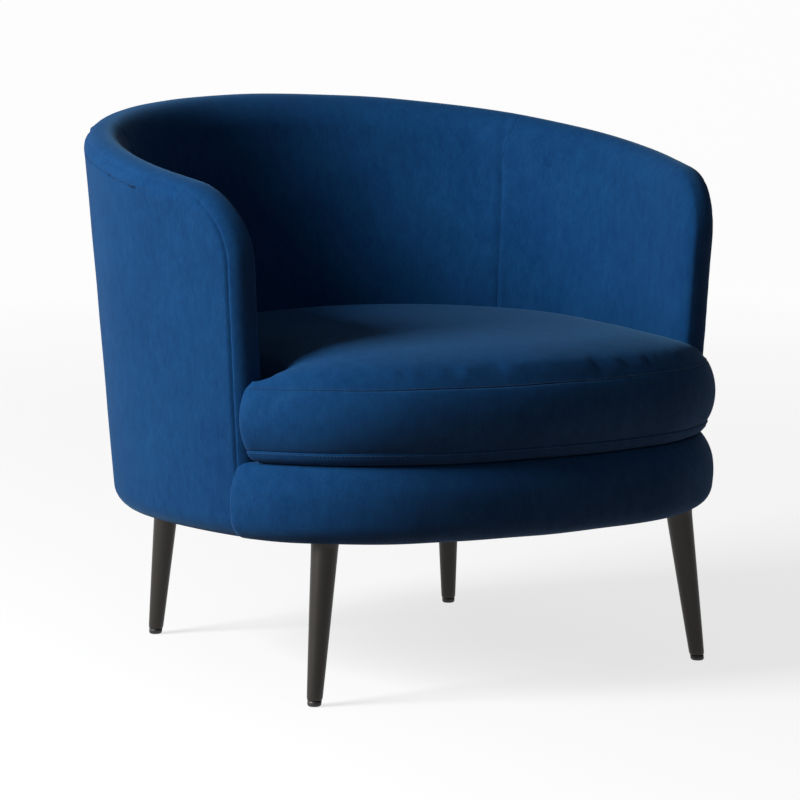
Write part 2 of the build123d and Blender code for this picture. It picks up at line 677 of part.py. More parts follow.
with BuildPart() as cushion_wrap:
    add(cushion_filling)
    add(cushion_foam, mode=Mode.SUBTRACT)
cushion_wrap.part.label = "cushion_wrap"
export_step(cushion_wrap.part, "parts/cushion_wrap.step")

with BuildPart() as cushion_core:
    add(cushion(wrap_depth + LAYER_GAP, CUSHION_LOW + wrap_depth + LAYER_GAP, TALL))
cushion_core.part.label = "cushion_core"
export_step(cushion_core.part, "parts/cushion_core.step")

zip_radius = WELL_RADIUS + leaned(CUSHION_LOW, -CUSHION_CLEARANCE)
slider_angle = radians(ZIP_ANGLE - 10)
slider_out = Vector(sin(slider_angle), cos(slider_angle), 0)
slider_reach = zip_radius + 2 * LAYER_GAP + SLIDER[1] / 2
slider_centre = Vector(0, WELL_CENTRE_Y, ZIP_LEVEL) + slider_out * slider_reach
with BuildPart() as zip_slider:
    with Locations(Plane(origin=slider_centre, x_dir=(slider_out.Y, -slider_out.X, 0), z_dir=(0, 0, 1))):
        Box(*SLIDER)
    fillet(zip_slider.edges().filter_by(Axis.Z), 1)
    tab_centre = slider_centre + slider_out * (SLIDER[1] / 2 - PULL_TAB[1] / 2)
    tab_centre = tab_centre - Vector(0, 0, SLIDER[2] / 2 + PULL_TAB[2] / 2 - 1)
    with Locations(Plane(origin=tab_centre, x_dir=(slider_out.Y, -slider_out.X, 0), z_dir=(0, 0, 1))):
        Box(*PULL_TAB)
zip_slider.part.label = "zip_slider"
export_step(zip_slider.part, "parts/zip_slider.step")
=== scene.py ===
import json
import math

import bmesh
import bpy
import numpy as np
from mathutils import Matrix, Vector, geometry, noise
from mathutils.bvhtree import BVHTree


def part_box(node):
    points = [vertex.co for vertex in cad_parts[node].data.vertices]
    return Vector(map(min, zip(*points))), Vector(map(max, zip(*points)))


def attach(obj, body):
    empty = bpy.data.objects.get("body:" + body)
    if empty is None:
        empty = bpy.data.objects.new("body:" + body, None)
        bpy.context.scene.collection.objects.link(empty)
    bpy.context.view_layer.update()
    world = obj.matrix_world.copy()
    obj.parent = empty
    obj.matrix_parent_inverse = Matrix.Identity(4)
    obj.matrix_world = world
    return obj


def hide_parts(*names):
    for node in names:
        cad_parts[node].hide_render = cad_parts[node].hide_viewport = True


# Looks of an upholstered tub armchair. Lengths in the making code are millimetres;
# mesh_piece() turns them into the frame's metres.

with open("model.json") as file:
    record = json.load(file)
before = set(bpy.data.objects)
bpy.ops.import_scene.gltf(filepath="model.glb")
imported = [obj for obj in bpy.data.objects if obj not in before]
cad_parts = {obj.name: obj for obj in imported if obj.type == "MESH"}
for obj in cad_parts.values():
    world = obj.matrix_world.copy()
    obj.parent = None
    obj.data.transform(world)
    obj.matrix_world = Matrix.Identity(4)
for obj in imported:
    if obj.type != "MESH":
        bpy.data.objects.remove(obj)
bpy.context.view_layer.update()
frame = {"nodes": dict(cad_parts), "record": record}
noise.seed_set(5)
MM = 0.001


def low_mm(node):
    """Lowest corner of a frame node, in millimetres."""
    return np.array(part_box(node)[0]) / MM


def high_mm(node):
    """Highest corner of a frame node, in millimetres."""
    return np.array(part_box(node)[1]) / MM


# ---------------------------------------------------------------- sizes
BASE_Z = high_mm("dust_cover")[2]  # underside of the shell
BACK_TOP = 707.0
RIM_SLOPE = 0.165
RIM_CORNER = 96.0
ARM_FRONT_Y = low_mm("inside_arm_cover_left")[1]
ARM_FRONT_LEAN = 0.03  # the arm fronts stand back a little lower down
CENTRE_Y = -15.0
BACK_RADIUS = 362.0
SIDE_RADIUS, SIDE_RADIUS_TOP = 621.5, 570.0
CORNER_RADIUS = 246.3
FRONT_RADIUS = 658.0
FRONT_REACH = 353.0
FLARE = 0.079
WELL_RADIUS, WELL_SIDE_RADIUS = 306.0, 741.0
WELL_CENTRE_Y = CENTRE_Y - 5.0
PANEL_ANGLE = math.radians(55.0)
BASE_ROUND = 28.0
HEM = 14.0  # cloth turned in under the base
INSIDE_LOW = high_mm("deck_cloth")[2] - 23.0  # inside panels run down behind cushion and front roll
OUTSIDE_LOW = BASE_Z + BASE_ROUND
CLOTH = 1.6  # thickness of the velvet
WELD = 0.05  # points closer than this are one point

QUARTER = BACK_RADIUS * math.pi / 2  # unrolled length from the middle of the back to the arm
ARM_REACH = CENTRE_Y - ARM_FRONT_Y
WELL_REACH = WELL_CENTRE_Y - ARM_FRONT_Y
BACK_Y = CENTRE_Y + BACK_RADIUS + FLARE * (BACK_TOP - BASE_Z)
RIM_TILT = math.atan(RIM_SLOPE)

APRON_END_Y = -199.0
APRON_END_ROUND = 11.0
APRON_MIDDLE_Z = 236.0
APRON_PROFILE = [
    (-40, 191.5), (-22, 191.8), (-3, 194.5), (10, 201.5), (17.5, 213), (20, 228), (20.5, 242),
    (19.0, 256), (15.5, 267), (10.5, 276.5), (4.5, 284), (-2, 287.2), (-18, 287.6), (-46, 286.2),
]
APRON_END_DROP = 5.0  # how much lower the roll's top is at its two ends
APRON_END_BULGE = 0.94  # how much of the roll's bulge is left at its two ends

SEAM_DRIFT, SEAM_DRIFT_DEPTH = 16.0, 75.0  # the back's panel seams swing forward over the rim
SEAM_DRIFT_REACH = 70.0  # how far round the wall the swing is felt
STATION = 4.2  # spacing of the mesh along the wall's edge
RIM_ROUND = (29.0, 25.0)  # rounding of the outer edge on the rim: across the wall, down the wall
FRONT_ROUND = (16.0, 16.0)  # the same down the arm fronts
MEAN_ROUND = 22.0  # radius that turns an angle on the outer edge into a distance
INNER_ROUND_DOWN = 43.0
NOT_INNER = (30.5, 27.5)  # the wall less its inner rounding, on the rim and down the arm fronts
SEAM_LEAD = 0.32  # the outer seam lies nearer the side of the arm down its front
BAND = 82.0  # depth of the edge band that follows the rim
SEAM_AT = math.radians(32.0)  # where the outer seam lies on the outer rounding
SEAM_GROOVE, GROOVE_WIDTH = 2.2, 2.6
GATHER, GATHER_PITCH = 3.0, 12.0


# ---------------------------------------------------------------- small helpers
def ease(x):
    """Smooth step from 0 to 1."""
    x = np.clip(x, 0.0, 1.0)
    return x * x * (3 - 2 * x)


def dip(distance, width):
    """Bell curve, 1 at distance 0."""
    return np.exp(-((np.asarray(distance) / width) ** 2))


def spread(start, end, pitch):
    """Evenly spaced values from start to end, about a pitch apart."""
    return np.linspace(start, end, max(2, int(round(abs(end - start) / pitch)) + 1))


def smooth_curve(points, count):
    """Catmull-Rom curve through a few points."""
    pts = np.array(points, float)
    pts = np.vstack([2 * pts[0] - pts[1], pts, 2 * pts[-1] - pts[-2]])
    t = np.linspace(0, len(pts) - 3, count)
    i = np.minimum(t.astype(int), len(pts) - 4)
    u = (t - i)[:, None]
    a, b, c, d = pts[i], pts[i + 1], pts[i + 2], pts[i + 3]
    return 0.5 * (2 * b + (c - a) * u + (2 * a - 5 * b + 4 * c - d) * u**2 + (3 * b - a - 3 * c + d) * u**3)


def softened(points, amount, size, seed=0.0):
    """Points moved a little, like cloth over foam that is never perfectly even."""
    out = np.array(points, float)
    flat = out.reshape(-1, 3)
    for i, p in enumerate(flat):
        q = Vector((p[0] / size + seed, p[1] / size, p[2] / size))
        flat[i] += np.array(noise.noise_vector(q)) * amount
    return flat.reshape(out.shape)


def mesh_piece(name, points, faces, material):
    """Mesh object from millimetre points."""
    mesh = bpy.data.meshes.new(name)
    mesh.from_pydata((np.asarray(points).reshape(-1, 3) * MM).tolist(), [], [list(f) for f in faces])
    mesh.validate()
    mesh.polygons.foreach_set("use_smooth", [True] * len(mesh.polygons))
    piece = bpy.data.objects.new(name, mesh)
    bpy.context.collection.objects.link(piece)
    mesh.materials.append(material)
    return piece


def grid_faces(rows, columns, start=0, closed=False):
    """Quads of a grid whose points run row by row."""
    faces = []
    span = columns if closed else columns - 1
    for r in range(rows - 1):
        for c in range(span):
            d = (c + 1) % columns
            this, after = start + r * columns, start + (r + 1) * columns
            faces.append((this + c, this + d, after + d, after + c))
    return faces


def welded(piece):
    """Joins points that lie on each other and makes the normals agree."""
    work = bmesh.new()
    work.from_mesh(piece.data)
    bmesh.ops.remove_doubles(work, verts=work.verts, dist=WELD * MM)
    bmesh.ops.recalc_face_normals(work, faces=work.faces)
    work.to_mesh(piece.data)
    work.free()
    return piece


def as_cloth(piece):
    """Gives an open panel the thickness of its cloth, on its inner side."""
    solidify = piece.modifiers.new("cloth", "SOLIDIFY")
    solidify.thickness = CLOTH * MM
    solidify.offset = -1
    solidify.use_rim = True
    return apply_modifiers(piece)


def apply_modifiers(piece):
    """Keeps what the modifiers make as the piece's own mesh."""
    graph = bpy.context.evaluated_depsgraph_get()
    done = bpy.data.meshes.new_from_object(piece.evaluated_get(graph))
    old = piece.data
    piece.modifiers.clear()
    piece.data = done
    done.name = piece.name
    bpy.data.meshes.remove(old)
    return piece


# ---------------------------------------------------------------- shader writing
class Shade:
    """A number or colour in a node tree. Arithmetic on numbers adds Math nodes."""

    def __init__(self, tree, socket):
        self.tree, self.socket = tree, socket

    def _math(self, operation, first, second):
        node = self.tree.nodes.new("ShaderNodeMath")
        node.operation = operation
        for slot_, value in zip(node.inputs, (first, second)):
            if isinstance(value, Shade):
                self.tree.links.new(value.socket, slot_)
            else:
                slot_.default_value = value
        return Shade(self.tree, node.outputs[0])

    def __add__(self, other):
        return self._math("ADD", self, other)

    __radd__ = __add__

    def __sub__(self, other):
        return self._math("SUBTRACT", self, other)

    def __rsub__(self, other):
        return self._math("SUBTRACT", other, self)

    def __mul__(self, other):
        return self._math("MULTIPLY", self, other)

    __rmul__ = __mul__


class Finish:
    """A material being written."""

    def __init__(self, name):
        self.material = bpy.data.materials.new(name)
        self.material.use_nodes = True
        self.tree = self.material.node_tree
        self.tree.nodes.clear()
        self.place = self.node("ShaderNodeTexCoord", output="Object")

    def node(self, kind, settings=None, inputs=None, output=0):
        """Adds a node: settings first, then values or links for its sockets."""
        made = self.tree.nodes.new(kind)
        for key, value in (settings or {}).items():
            setattr(made, key, value)
        for key, value in (inputs or {}).items():
            if isinstance(value, Shade):
                self.tree.links.new(value.socket, made.inputs[key])
            else:
                made.inputs[key].default_value = value
        return Shade(self.tree, made.outputs[output]) if len(made.outputs) else made

    def stretched(self, scale):
        """Object coordinates scaled apart along each axis."""
        return self.node("ShaderNodeMapping", inputs={"Vector": self.place, "Scale": scale})

    def grain(self, scale, detail=2.0, roughness=0.5, place=None):
        """Soft noise, 0 to 1."""
        return self.node(
            "ShaderNodeTexNoise",
            inputs={
                "Vector": place or self.place,
                "Scale": scale,
                "Detail": detail,
                "Roughness": roughness,
            },
        )

    def steps(self, value, low, high):
        """value moved so that low becomes 0 and high becomes 1, kept between them."""
        return self.node("ShaderNodeMapRange", inputs={"Value": value, "From Min": low, "From Max": high})

    def between(self, mask, first, second):
        """Colour mix."""
        return self.node(
            "ShaderNodeMix",
            {"data_type": "RGBA"},
            {0: mask, 6: (*first, 1), 7: (*second, 1)},
            output=2,
        )

    def bump(self, height, strength, distance):
        """Normal from a height."""
        sockets = {"Height": height, "Strength": strength, "Distance": distance}
        return self.node("ShaderNodeBump", inputs=sockets)

    def surface(self, **sockets):
        """Ends the material with its Principled shader."""
        inputs = {key.replace("_", " "): value for key, value in sockets.items()}
        shader = self.node("ShaderNodeBsdfPrincipled", inputs=inputs)
        self.node("ShaderNodeOutputMaterial", inputs={"Surface": shader})
        return self.material


def velvet(name, deep, light, sheen=0.15, sheen_tint=(0.20, 0.50, 0.86)):
    """Short-pile velvet: nap that lies in soft patches, fine pile, and light caught at grazing angles."""
    f = Finish(name)
    patches = f.grain(9.0, 4.0, 0.62)
    brushed = f.grain(85.0, 3.0, 0.6, f.stretched((1.0, 1.0, 0.5)))
    ribs = f.grain(520.0, 2.0, 0.55, f.stretched((1.0, 1.0, 0.22)))
    pile = f.grain(1500.0, 2.0, 0.7)
    cloudy = f.steps(patches * 0.5 + brushed * 0.5, 0.36, 0.66)
    speck = f.steps(pile * 0.5 + ribs * 0.5, 0.32, 0.68)
    tone = f.between(cloudy * 0.34 + speck * 0.52, deep, light)
    height = brushed * 0.2 + ribs * 0.35 + pile * 0.45
    return f.surface(
        Base_Color=tone,
        Roughness=0.96 - cloudy * 0.12,
        Normal=f.bump(height, 0.35, 0.0009),
        Specular_IOR_Level=0.12,
        Sheen_Weight=sheen,
        Sheen_Roughness=0.45,
        Sheen_Tint=(*sheen_tint, 1),
    )


def satin_metal(name, colour, roughness=0.36):
    """Fine powder coat over metal."""
    f = Finish(name)
    fleck = f.grain(900.0, 2.0)
    cloud = f.grain(30.0, 3.0)
    darker = tuple(c * 0.72 for c in colour)
    return f.surface(
        Base_Color=f.between(cloud * 0.5 + fleck * 0.3, darker, colour),
        Metallic=0.45,
        Roughness=roughness + cloud * 0.08 + fleck * 0.06,
        Normal=f.bump(fleck, 0.18, 0.0002),
    )


def plain_grain(name, low, high, scale, roughness=0.7, bump=0.2, metallic=0.0, stretch=None):
    """A finish with one grain: timber, board, felt, plastic or plated steel."""
    f = Finish(name)
    place = f.stretched(stretch) if stretch else f.place
    coarse = f.grain(scale, 4.0, 0.6, place)
    fine = f.grain(scale * 14, 2.0, 0.6, place)
    return f.surface(
        Base_Color=f.between(f.steps(coarse * 0.7 + fine * 0.3, 0.3, 0.7), low, high),
        Metallic=metallic,
        Roughness=roughness + fine * 0.12,
        Normal=f.bump(coarse * 0.5 + fine * 0.5, bump, 0.0008),
    )


def woven(name, dark, light, pitch, roughness=0.85):
    """Plain weave from two crossed bands."""
    f = Finish(name)
    bands = {"wave_type": "BANDS", "wave_profile": "SIN"}
    sockets = {"Vector": f.place, "Scale": pitch}
    warp = f.node("ShaderNodeTexWave", {**bands, "bands_direction": "X"}, sockets)
    weft = f.node("ShaderNodeTexWave", {**bands, "bands_direction": "Y"}, sockets)
    slub = f.grain(60.0, 3.0)
    weave = warp * weft
    return f.surface(
        Base_Color=f.between(weave * 0.6 + slub * 0.4, dark, light),
        Roughness=roughness + slub * 0.1,
        Normal=f.bump(weave, 0.4, 0.0004),
    )


VELVET = velvet("deep_blue_velvet", (0.0007, 0.023, 0.088), (0.0022, 0.060, 0.182))
THREAD = plain_grain("blue_thread", (0.003, 0.034, 0.105), (0.010, 0.062, 0.160), 400.0, 0.7)
BRONZE = satin_metal("dark_bronze_coat", (0.032, 0.028, 0.024))
GLIDE = plain_grain("black_nylon", (0.010, 0.010, 0.010), (0.026, 0.025, 0.025), 220.0, 0.42, 0.15)
DUST = woven("black_bottom_cloth", (0.006, 0.006, 0.007), (0.022, 0.022, 0.024), 420.0)
DECK = woven("blue_deck_cloth", (0.004, 0.030, 0.090), (0.010, 0.055, 0.140), 300.0)
ZIP_TAPE = woven("blue_zip_tape", (0.003, 0.022, 0.070), (0.008, 0.045, 0.120), 700.0, 0.75)
ZIP_METAL = satin_metal("gunmetal_zip", (0.10, 0.10, 0.105), 0.3)


# ---------------------------------------------------------------- the wall, unrolled
# A point of the wall is (p, z, across): p runs round the chair from the middle of the back,
# z is height and across goes from 0 on the inside to 1 on the outside.
def flared(z):
    return FLARE * (z - BASE_Z)


def wall_outside(p, z):
    """Outside face of the wall."""
    p, z = np.broadcast_arrays(np.asarray(p, float), np.asarray(z, float))
    radius = BACK_RADIUS + flared(z)
    angle = np.minimum(p, QUARTER) / BACK_RADIUS
    forward = np.maximum(p - QUARTER, 0.0)
    side = SIDE_RADIUS + (SIDE_RADIUS_TOP - SIDE_RADIUS) * (z - BASE_Z) / (BACK_TOP - BASE_Z)
    x = radius * np.sin(angle) - side + np.sqrt(side**2 - forward**2)
    y = CENTRE_Y + radius * np.cos(angle) - forward
    return np.stack([x, y, z], -1)


def wall_inside(p, z):
    """Inside face of the wall."""
    p, z = np.broadcast_arrays(np.asarray(p, float), np.asarray(z, float))
    radius = WELL_RADIUS + flared(z)
    angle = np.minimum(p, QUARTER) / BACK_RADIUS
    forward = np.maximum(p - QUARTER, 0.0) * WELL_REACH / ARM_REACH
    side = WELL_SIDE_RADIUS + flared(z)
    x = radius * np.sin(angle) - side + np.sqrt(side**2 - forward**2)
    y = WELL_CENTRE_Y + radius * np.cos(angle) - forward
    return np.stack([x, y, z], -1)


def wall_point(p, z, across):
    """Place in the wall, with the panel seams swung forward near the rim."""
    p, z = np.broadcast_arrays(np.asarray(p, float), np.asarray(z, float))
    rim_z = rim_height(CENTRE_Y + (BACK_RADIUS + flared(z)) * np.cos(np.minimum(p, QUARTER) / BACK_RADIUS))
    near_rim = ease((z - rim_z + SEAM_DRIFT_DEPTH) / SEAM_DRIFT_DEPTH)
    p = p + SEAM_DRIFT * near_rim * dip(p - PANEL_ANGLE * BACK_RADIUS, SEAM_DRIFT_REACH)
    across = np.asarray(across, float)[..., None]
    return wall_inside(p, z) * (1 - across) + wall_outside(p, z) * across


def rim_height(y):
    """Height of the rim line at a given y."""
    return BACK_TOP - RIM_SLOPE * (BACK_Y - y)


def edge_line():
    """Stations along the wall's free edge, from the middle of the back over the rim and down the
    arm front: p, z, and the direction into the wall. Also the stations at the rim's corner, at the
    panel seam and where the inside panels end."""
    seam = PANEL_ANGLE * BACK_RADIUS
    near = np.array([-12, -8, -5, -3, -1.5, 0, 1.5, 3, 5, 8, 12]) + seam
    back = np.concatenate([spread(0, seam - 16, STATION), near, spread(seam + 16, QUARTER, STATION)])
    z = np.full(len(back), BACK_TOP)
    for _ in range(4):
        y = CENTRE_Y + (BACK_RADIUS + flared(z)) * np.cos(back / BACK_RADIUS)
        z = rim_height(y)
    stations = [np.stack([back, z, 0 * back, 0 * back - 1], -1)]
    turn_y = ARM_FRONT_Y + RIM_CORNER
    turn_z = rim_height(turn_y) - RIM_CORNER / math.cos(RIM_TILT)
    start_y = turn_y - RIM_CORNER * math.sin(RIM_TILT)
    y = spread(CENTRE_Y, start_y, STATION)[1:]
    tilt = RIM_TILT * (CENTRE_Y - y) / (CENTRE_Y - start_y)
    stations.append(np.stack([QUARTER + CENTRE_Y - y, rim_height(y), -np.sin(tilt), -np.cos(tilt)], -1))
    a = np.linspace(math.pi / 2 + RIM_TILT, math.pi, 43)[1:]
    y, z = turn_y + RIM_CORNER * np.cos(a), turn_z + RIM_CORNER * np.sin(a)
    stations.append(np.stack([QUARTER + CENTRE_Y - y, z, np.cos(a), -np.sin(a)], -1))
    corner = len(stations[0]) + len(stations[1]) + 21
    beside_seat = spread(turn_z, INSIDE_LOW, STATION)[1:]
    below_seat = spread(INSIDE_LOW, OUTSIDE_LOW, STATION)[1:]
    inside_end = sum(len(s) for s in stations) + len(beside_seat) - 1
    z = np.concatenate([beside_seat, below_seat])
    y = ARM_FRONT_Y + ARM_FRONT_LEAN * (turn_z - z)
    stations.append(np.stack([QUARTER + CENTRE_Y - y, z, 0 * z - 1, 0 * z], -1))
    line = np.vstack(stations)
    return line, corner, int(np.argmin(abs(line[:, 0] - seam))), inside_end


EDGE, CORNER_STATION, SEAM_STATION, INSIDE_STATION = edge_line()


def edge_section():
    """Across the wall's edge: (kind of point, angle or depth), from the outside over to the inside."""
    outer = [("out", d) for d in (BAND, 66, 52, 42, 34, 28, 24)]
    outer += [("outer", a) for a in np.radians([0, 8, 16, 23, 28, 31, 32])]
    wrap = [("outer", a) for a in np.radians([32, 33, 36, 40, 45, 51, 59, 68, 79, 90])]
    wrap += [("inner", a) for a in np.radians([6, 13, 21, 29, 37, 45, 53, 61, 69, 77, 84, 90])]
    wrap += [("in", d) for d in (50, 59, 70, BAND)]
    return outer, wrap


def section_point(kind, value, thickness, upright):
    """Distance across the wall from its inside face, and depth from the edge. upright is 0 on the
    rim and 1 down the arm front."""
    wide, down = (rim + (front - rim) * upright for rim, front in zip(RIM_ROUND, FRONT_ROUND))
    if kind == "outer":
        value = value * (1 - SEAM_LEAD * upright * math.cos(value))
    inner = thickness - NOT_INNER[0] + (NOT_INNER[0] - NOT_INNER[1]) * upright
    if kind == "out":
        return thickness, value
    if kind == "outer":
        return thickness - wide + wide * math.cos(value), down - down * math.sin(value)
    if kind == "inner":
        return inner - inner * math.sin(value), INNER_ROUND_DOWN - INNER_ROUND_DOWN * math.cos(value)
    return 0.0, value


def edge_grid(section, stations):
    """Points of the edge band: one row for each station."""
    rows = []
    walked = 0.0
    for k, (p, z, dp, dz) in enumerate(stations):
        outside = wall_outside(p, z)
        thickness = float(np.linalg.norm(outside - wall_inside(p, z)))
        walked += float(np.hypot(*(stations[k, :2] - stations[k - 1, :2]))) if k else 0.0
        row = []
        for kind, value in section:
            across, depth = section_point(kind, value, thickness, abs(dp))
            spot = wall_point(p + dp * depth, z + dz * depth, across / thickness)
            spot[2] -= RIM_SLOPE * (outside[1] - spot[1]) * (1 - ease(depth / BAND)) * -dz
            row.append(spot + gathered(kind, value, walked, dp) * (wall_inside(p, z) - outside) / thickness)
        rows.append(row)
    return np.array(rows)


def gathered(kind, value, walked, dp):
    """How far cloth is drawn in by the outer seam: a groove, and small gathers that fan out from it."""
    if kind == "outer":
        away = MEAN_ROUND * (value - SEAM_AT)
    elif kind == "out":
        away = -value
    else:
        return 0.0
    groove = SEAM_GROOVE * float(dip(away, GROOVE_WIDTH))
    bend = math.sin(math.pi * min(1.0, abs(dp) * 1.05)) + 0.25
    ripple = max(0.0, noise.noise(Vector((walked / GATHER_PITCH, 3.7, 0.0))) + 0.15)
    reach = 14.0 if away > 0 else 9.0
    return groove + GATHER * bend * ripple * math.exp(-abs(away) / reach)


def field_grid(across, first, last, low):
    """Points of the flat field inside the edge band, columns first to last, rows from the top down
    to the height of station low."""
    ring = EDGE[:, :2] + EDGE[:, 2:] * BAND
    top, front = ring[: CORNER_STATION + 1], ring[CORNER_STATION : low + 1]
    bottom = EDGE[low, 1]
    u = top[:, 0] / top[-1, 0]
    v = (front[0, 1] - front[:, 1]) / (front[0, 1] - front[-1, 1])
    base = np.stack([u * front[-1, 0], np.full(len(u), bottom)], -1)
    front = np.stack([front[:, 0], front[0, 1] - v * (front[0, 1] - bottom)], -1)
    left = np.stack([0 * v, top[0, 1] - v * (top[0, 1] - bottom)], -1)
    uu, vv = u[None, :, None], v[:, None, None]
    grid = (1 - vv) * top[None] + vv * base[None] + (1 - uu) * left[:, None] + uu * front[:, None]
    grid -= (1 - uu) * (1 - vv) * top[0] + uu * (1 - vv) * top[-1] + (1 - uu) * vv * base[0]
    grid -= uu * vv * base[-1]
    grid = grid[:, first : last + 1]
    return wall_point(grid[..., 0], grid[..., 1], across)


def half_panel(section, across, first, last, low):
    """Edge band and field of one panel on the right-hand side: points, faces and lowest row."""
    band = edge_grid(section, EDGE[first : last + 1])
    field = field_grid(across, first, min(last, CORNER_STATION), low)
    points = np.vstack([band.reshape(-1, 3), field.reshape(-1, 3)])
    faces = grid_faces(band.shape[0], band.shape[1])
    faces += grid_faces(field.shape[0], field.shape[1], band.shape[0] * band.shape[1])
    lowest = np.vstack([field[-1], band[-1][1:]]) if last == low else field[-1]
    return points, faces, lowest


def with_mirror(points, faces):
    """A right-hand half and its mirror image."""
    other = points * [-1, 1, 1]
    return np.vstack([points, other]), faces + [tuple(i + len(points) for i in f[::-1]) for f in faces]


def pinched(points, depth, width, inside):
    """Draws cloth in along the upright seams between back and arm panels."""
    out = points.copy()
    centre = WELL_CENTRE_Y if inside else CENTRE_Y
    angle = np.arctan2(abs(out[:, 0]), out[:, 1] - centre)
    radius = np.hypot(out[:, 0], out[:, 1] - centre)
    away = (angle - PANEL_ANGLE) * radius
    pull = depth * dip(away, width) * (1 if inside else -1)
    out[:, 0] += pull * np.sin(angle) * np.sign(out[:, 0])
    out[:, 1] += pull * np.cos(angle)
    return out


def finish_panel(name, points, faces, inside, seed):
    """One velvet panel, drawn in along its upright seams and made a little uneven."""
    points = pinched(points, 1.6, 4.0, inside)
    points = softened(points, 0.9, 95.0, seed)
    piece = welded(mesh_piece(name, points, faces, VELVET))
    return piece


def outward(piece, centre):
    """Turns a panel's faces away from a point, if they face it."""
    mesh = piece.data
    total = sum((Vector(p.center) - centre).dot(p.normal) * p.area for p in mesh.polygons)
    if total < 0:
        mesh.flip_normals()
    return piece


OUTER_SECTION, WRAP_SECTION = edge_section()


def lower_skirt(lowest):
    """Outside cloth from a panel's lowest row on, round the bottom edge and under to the hem."""
    along = np.gradient(lowest[:, :2], axis=0)
    along /= np.linalg.norm(along, axis=1)[:, None]
    normal = np.stack([-along[:, 1], along[:, 0], 0 * along[:, 0]], -1)
    if lowest[-1, 1] < CENTRE_Y:  # an arm: its front rounding goes straight in, with the flat beside it
        flat = len(lowest) - sum(kind == "outer" for kind, _ in OUTER_SECTION) - 1
        normal[flat:] = normal[flat - 1]
    angles = np.linspace(0, math.pi / 2, 9)
    turns = [(BASE_ROUND * (1 - math.cos(a)), BASE_ROUND * math.sin(a)) for a in angles]
    turns.append((BASE_ROUND + HEM, BASE_ROUND))
    return np.array([lowest - normal * inset - [0, 0, fall] for inset, fall in turns])


def build_shell():
    """Six velvet panels: outside and inside, back and arms."""
    pieces = {}
    last = len(EDGE) - 1
    jobs = [
        ("outside_back", OUTER_SECTION, 1.0, 0, SEAM_STATION, last),
        ("outside_arm", OUTER_SECTION, 1.0, SEAM_STATION, last, last),
        ("inside_back", WRAP_SECTION, 0.0, 0, SEAM_STATION, INSIDE_STATION),
        ("inside_arm", WRAP_SECTION, 0.0, SEAM_STATION, INSIDE_STATION, INSIDE_STATION),
    ]
    for name, section, across, first, end, low in jobs:
        points, faces, lowest = half_panel(section, across, first, end, low)
        inside = across == 0.0
        if not inside:
            skirt = lower_skirt(lowest)
            faces = faces + grid_faces(skirt.shape[0], skirt.shape[1], len(points))
            points = np.vstack([points, skirt.reshape(-1, 3)])
        if name.endswith("back"):
            both = with_mirror(points, faces)
            pieces[name] = finish_panel(name, *both, inside, 3.0)
        else:
            pieces[name + "_right"] = finish_panel(name + "_right", points, faces, inside, 3.0)
            left = (points * [-1, 1, 1], [f[::-1] for f in faces])
            pieces[name + "_left"] = finish_panel(name + "_left", *left, inside, 7.0)
    centre = Vector((0, CENTRE_Y, 400)) * MM
    for name, piece in pieces.items():
        outward(piece, centre)
        if name.startswith("inside"):
            piece.data.flip_normals()
        as_cloth(piece)
        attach(piece, "chair")
    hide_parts("outside_back_cover", "outside_wadding")
    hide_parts("inside_back_cover", "inside_back_foam")
    for side in ("left", "right"):
        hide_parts(f"outside_arm_cover_{side}")
        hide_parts(f"inside_arm_cover_{side}", f"inside_arm_foam_{side}")
    return pieces


# ---------------------------------------------------------------- plan outline of the seat base
def corner_centre():
    """Centre of the corner arc that touches the side arc and the front bow."""
    side = np.array([BACK_RADIUS - SIDE_RADIUS, CENTRE_Y])
    front = np.array([0.0, CENTRE_Y - FRONT_REACH + FRONT_RADIUS])
    to_side, to_front = SIDE_RADIUS - CORNER_RADIUS, FRONT_RADIUS - CORNER_RADIUS
    span = front - side
    length = np.hypot(*span)
    along = (to_side**2 - to_front**2 + length**2) / (2 * length)
    across = math.sqrt(to_side**2 - along**2)
    return side + (span * along + np.array([span[1], -span[0]]) * across) / length, front


CORNER_AT, FRONT_AT = corner_centre()


def base_front(end_y, pitch=8.0):
    """Front of the base outline from the right-hand end round to the left: points and outward normals."""
    start = math.asin((end_y - CORNER_AT[1]) / CORNER_RADIUS)
    meet = math.atan2(CORNER_AT[1] - FRONT_AT[1], CORNER_AT[0] - FRONT_AT[0])
    a = spread(start, meet, pitch / CORNER_RADIUS)
    b = spread(meet, -math.pi / 2, pitch / FRONT_RADIUS)[1:]
    corner = CORNER_AT + CORNER_RADIUS * np.stack([np.cos(a), np.sin(a)], -1)
    bow = FRONT_AT + FRONT_RADIUS * np.stack([np.cos(b), np.sin(b)], -1)
    half = np.vstack([corner, bow])
    normals = np.concatenate([a, b])
    normals = np.stack([np.cos(normals), np.sin(normals)], -1)
    mirror = [-1, 1]
    return np.vstack([half, (half * mirror)[-2::-1]]), np.vstack([normals, (normals * mirror)[-2::-1]])


